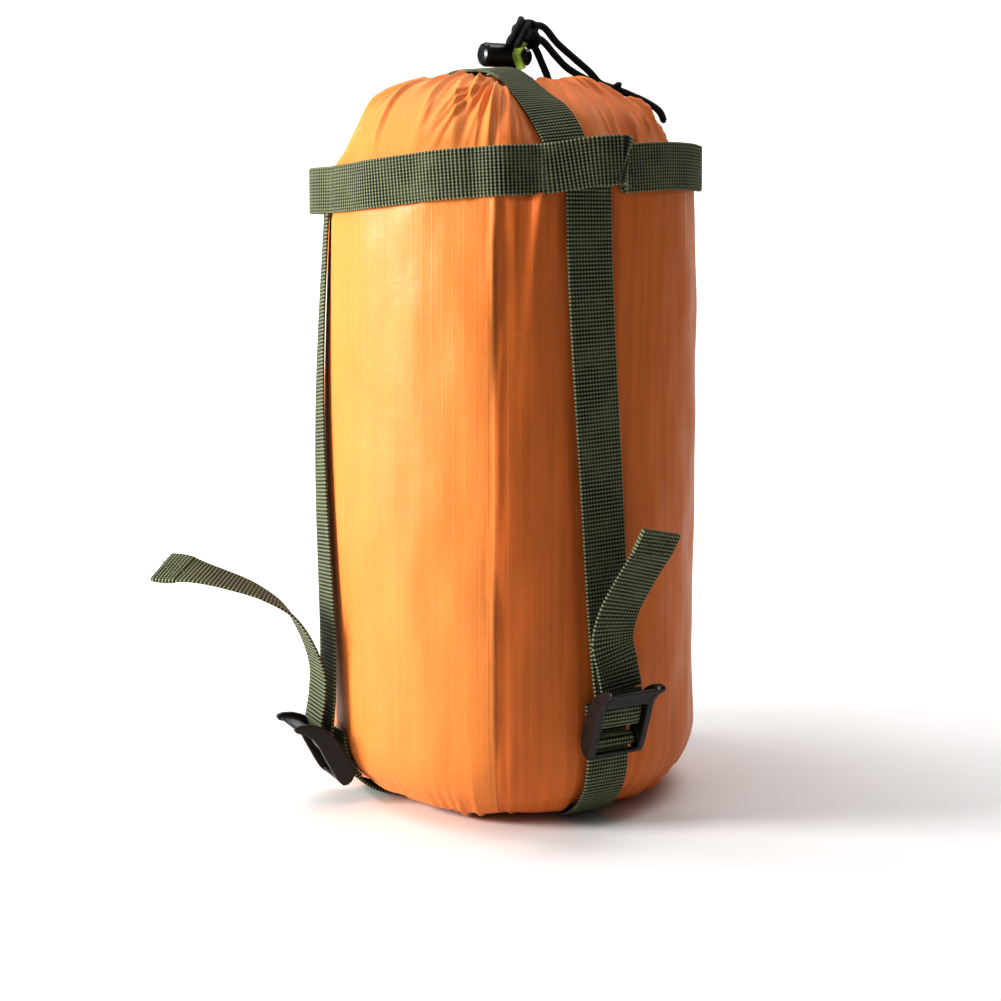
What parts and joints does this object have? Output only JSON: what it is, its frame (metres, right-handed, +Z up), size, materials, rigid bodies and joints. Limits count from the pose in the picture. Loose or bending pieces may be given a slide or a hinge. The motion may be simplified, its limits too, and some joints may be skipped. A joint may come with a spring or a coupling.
{
  "type": "compression sack",
  "caption": "Round stuffed compression sack with a drawcord mouth, a webbing collar and webbing straps through ladder-lock buckles with free tails.",
  "frame": {"origin": "centre of the flat face that the sack stands on, on the axis of the filled sack", "axes": "+Z up along the sack towards its drawcord mouth; the front strap's buckle is on -Y"},
  "size_m": [0.2811, 0.2721, 0.3796],
  "materials": {
    "sack_fabric": "thin bright orange nylon with a faint ripstop line, soft sheen",
    "load_filling": "packed soft filling, unseen",
    "webbing": "olive green ribbed flat webbing",
    "drawcord": "black braided round cord",
    "cord_lock_plastic": "smooth black moulded plastic",
    "buckle_plastic": "black moulded acetal with a low sheen",
    "spring_steel": "drawn spring wire",
    "tab_ribbon": "narrow lime green woven ribbon"
  },
  "bodies": {
    "base": {"sack_wall": "sack_fabric", "bottom_panel": "sack_fabric", "packed_load": "load_filling", "bottom_strap_fore_aft": "webbing", "bottom_strap_side": "webbing", "strap_run_front": "webbing", "strap_run_left": "webbing", "strap_run_back": "webbing", "strap_run_right": "webbing"},
    "top": {"gathered_top": "sack_fabric", "mouth_hem": "sack_fabric", "collar_band": "webbing", "over_strap_fore_aft": "webbing", "over_strap_side": "webbing", "drawcord_long": "drawcord", "drawcord_short": "drawcord", "drawcord_hem_strand": "drawcord", "cord_knot": "drawcord", "cord_lock_barrel": "cord_lock_plastic", "cord_lock_spring": "spring_steel", "pull_tab": "tab_ribbon"},
    "lock_plunger": {"cord_lock_plunger": "cord_lock_plastic"},
    "buckle_front": {"buckle_front": "buckle_plastic", "strap_wrap_front": "webbing"},
    "tail_root_front": {"tail_root_front": "webbing"},
    "tail_front": {"tail_front": "webbing"},
    "buckle_left": {"buckle_left": "buckle_plastic", "strap_wrap_left": "webbing"},
    "tail_root_left": {"tail_root_left": "webbing"},
    "tail_left": {"tail_left": "webbing"},
    "buckle_back": {"buckle_back": "buckle_plastic", "strap_wrap_back": "webbing"},
    "tail_root_back": {"tail_root_back": "webbing"},
    "tail_back": {"tail_back": "webbing"},
    "buckle_right": {"buckle_right": "buckle_plastic", "strap_wrap_right": "webbing"},
    "tail_root_right": {"tail_root_right": "webbing"},
    "tail_right": {"tail_right": "webbing"}
  },
  "joints": [
    {"name": "compress", "type": "slide", "parent": "base", "child": "top", "axis": [0, 0, -1], "range_m": [0, 0.07], "deforming": ["sack_wall", "packed_load", "strap_run_front", "strap_run_left", "strap_run_back", "strap_run_right"]},
    {"name": "lock_press", "type": "slide", "parent": "top", "child": "lock_plunger", "axis": [-1, 0, 0], "range_m": [0, 0.003], "stiffness_N_per_m": 1200, "springref_m": -0.004, "deforming": ["cord_lock_spring"]},
    {"name": "buckle_rock_front", "type": "hinge", "parent": "base", "child": "buckle_front", "pos_m": [-0.003, -0.0949, 0.042], "axis": [1, 0, 0], "range_deg": [-8, 9]},
    {"name": "tail_swing_front", "type": "hinge", "parent": "buckle_front", "child": "tail_root_front", "pos_m": [-0.003, -0.10385, 0.06696], "axis": [1, 0, 0], "range_deg": [-8, 30]},
    {"name": "tail_feed_front", "type": "slide", "parent": "tail_root_front", "child": "tail_front", "axis": [0, -0.1203, 0.9927], "range_m": [0, 0.07]},
    {"name": "buckle_rock_left", "type": "hinge", "parent": "base", "child": "buckle_left", "pos_m": [-0.08984, 0.0123, 0.016], "axis": [-0.0698, -0.9976, 0], "range_deg": [-8, 12]},
    {"name": "tail_swing_left", "type": "hinge", "parent": "buckle_left", "child": "tail_root_left", "pos_m": [-0.10255, 0.01319, 0.03925], "axis": [-0.0698, -0.9976, 0], "range_deg": [-8, 30]},
    {"name": "tail_feed_left", "type": "slide", "parent": "tail_root_left", "child": "tail_left", "axis": [-0.7346, 0.2724, 0.6215], "range_m": [0, 0.07]},
    {"name": "buckle_rock_back", "type": "hinge", "parent": "base", "child": "buckle_back", "pos_m": [0, 0.09477, 0.03], "axis": [-1, 0, 0], "range_deg": [-8, 9]},
    {"name": "tail_swing_back", "type": "hinge", "parent": "buckle_back", "child": "tail_root_back", "pos_m": [0, 0.10459, 0.05463], "axis": [-1, 0, 0], "range_deg": [-8, 30]},
    {"name": "tail_feed_back", "type": "slide", "parent": "tail_root_back", "child": "tail_back", "axis": [-0.0807, 0.4538, 0.8874], "range_m": [0, 0.07]},
    {"name": "buckle_rock_right", "type": "hinge", "parent": "base", "child": "buckle_right", "pos_m": [0.09145, 0.02557, 0.03], "axis": [-0.2079, 0.9781, 0], "range_deg": [-3, 8]},
    {"name": "tail_swing_right", "type": "hinge", "parent": "buckle_right", "child": "tail_root_right", "pos_m": [0.09404, 0.02612, 0.05638], "axis": [-0.2079, 0.9781, 0], "range_deg": [-2, 30]},
    {"name": "tail_feed_right", "type": "slide", "parent": "tail_root_right", "child": "tail_right", "axis": [0.0196, 0.0042, 0.9998], "range_m": [0, 0.07]}
  ],
  "couplings": [
    {"joint": "tail_feed_front", "follows": "compress", "ratio": 1},
    {"joint": "tail_feed_left", "follows": "compress", "ratio": 1},
    {"joint": "tail_feed_back", "follows": "compress", "ratio": 1},
    {"joint": "tail_feed_right", "follows": "compress", "ratio": 1}
  ]
}
